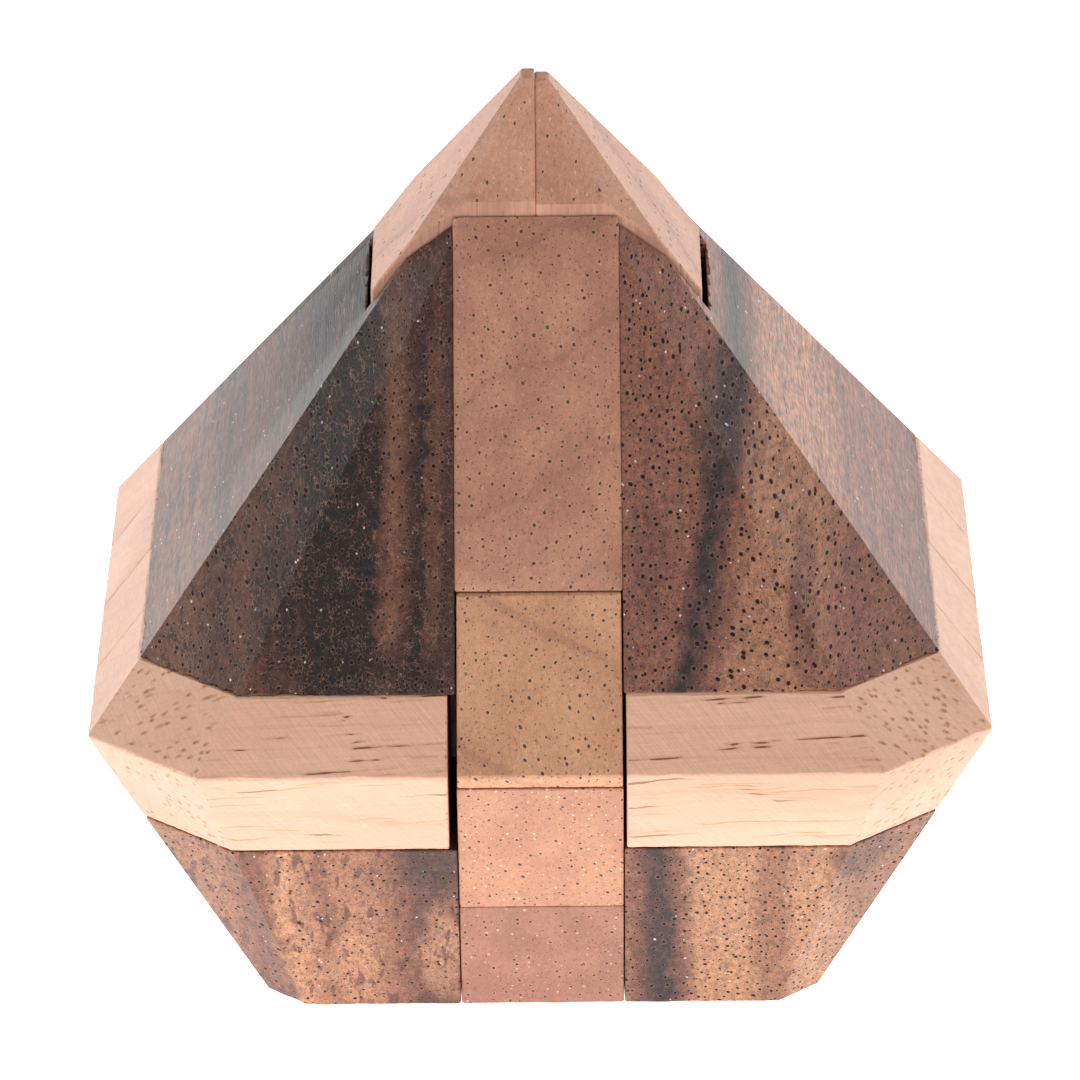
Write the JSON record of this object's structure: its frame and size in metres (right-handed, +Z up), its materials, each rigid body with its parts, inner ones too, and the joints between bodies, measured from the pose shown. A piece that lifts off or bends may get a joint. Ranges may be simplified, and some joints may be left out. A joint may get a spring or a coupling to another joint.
{
  "type": "wooden burr puzzle",
  "caption": "Interlocking wooden burr puzzle in the shape of a faceted gem, with a sliding key stick that unlocks it.",
  "frame": {"origin": "centre of the flat base, on the surface that it rests on", "axes": "+Z up through the crown's point; Y along the key, -Y towards the front; +X to the right"},
  "size_m": [0.0812, 0.0812, 0.0813],
  "materials": {
    "light_wood": "bare pale wood, finely sanded, satin",
    "pink_wood": "bare pinkish-brown wood with fine pores, satin",
    "key_wood": "bare tan wood with fine pores, satin",
    "dark_wood": "dark streaked wood with open pores, waxed, satin"
  },
  "bodies": {
    "frame": {"front_cross_stick": "light_wood", "back_cross_stick": "light_wood", "keel_stick": "pink_wood", "left_upright_stick": "pink_wood", "right_upright_stick": "pink_wood", "left_crown_block": "dark_wood", "right_crown_block": "dark_wood", "front_crown_wedge": "pink_wood", "back_crown_wedge": "pink_wood", "front_left_band_block": "light_wood", "front_right_band_block": "light_wood", "back_left_band_block": "light_wood", "back_right_band_block": "light_wood", "left_pavilion_block": "dark_wood", "right_pavilion_block": "dark_wood", "front_pavilion_wedge": "pink_wood", "back_pavilion_wedge": "pink_wood"},
    "key": {"key_stick": "key_wood"}
  },
  "joints": [
    {"name": "key_slide", "type": "slide", "parent": "frame", "child": "key", "axis": [0, -1, 0], "range_m": [-0.082, 0.082]}
  ]
}
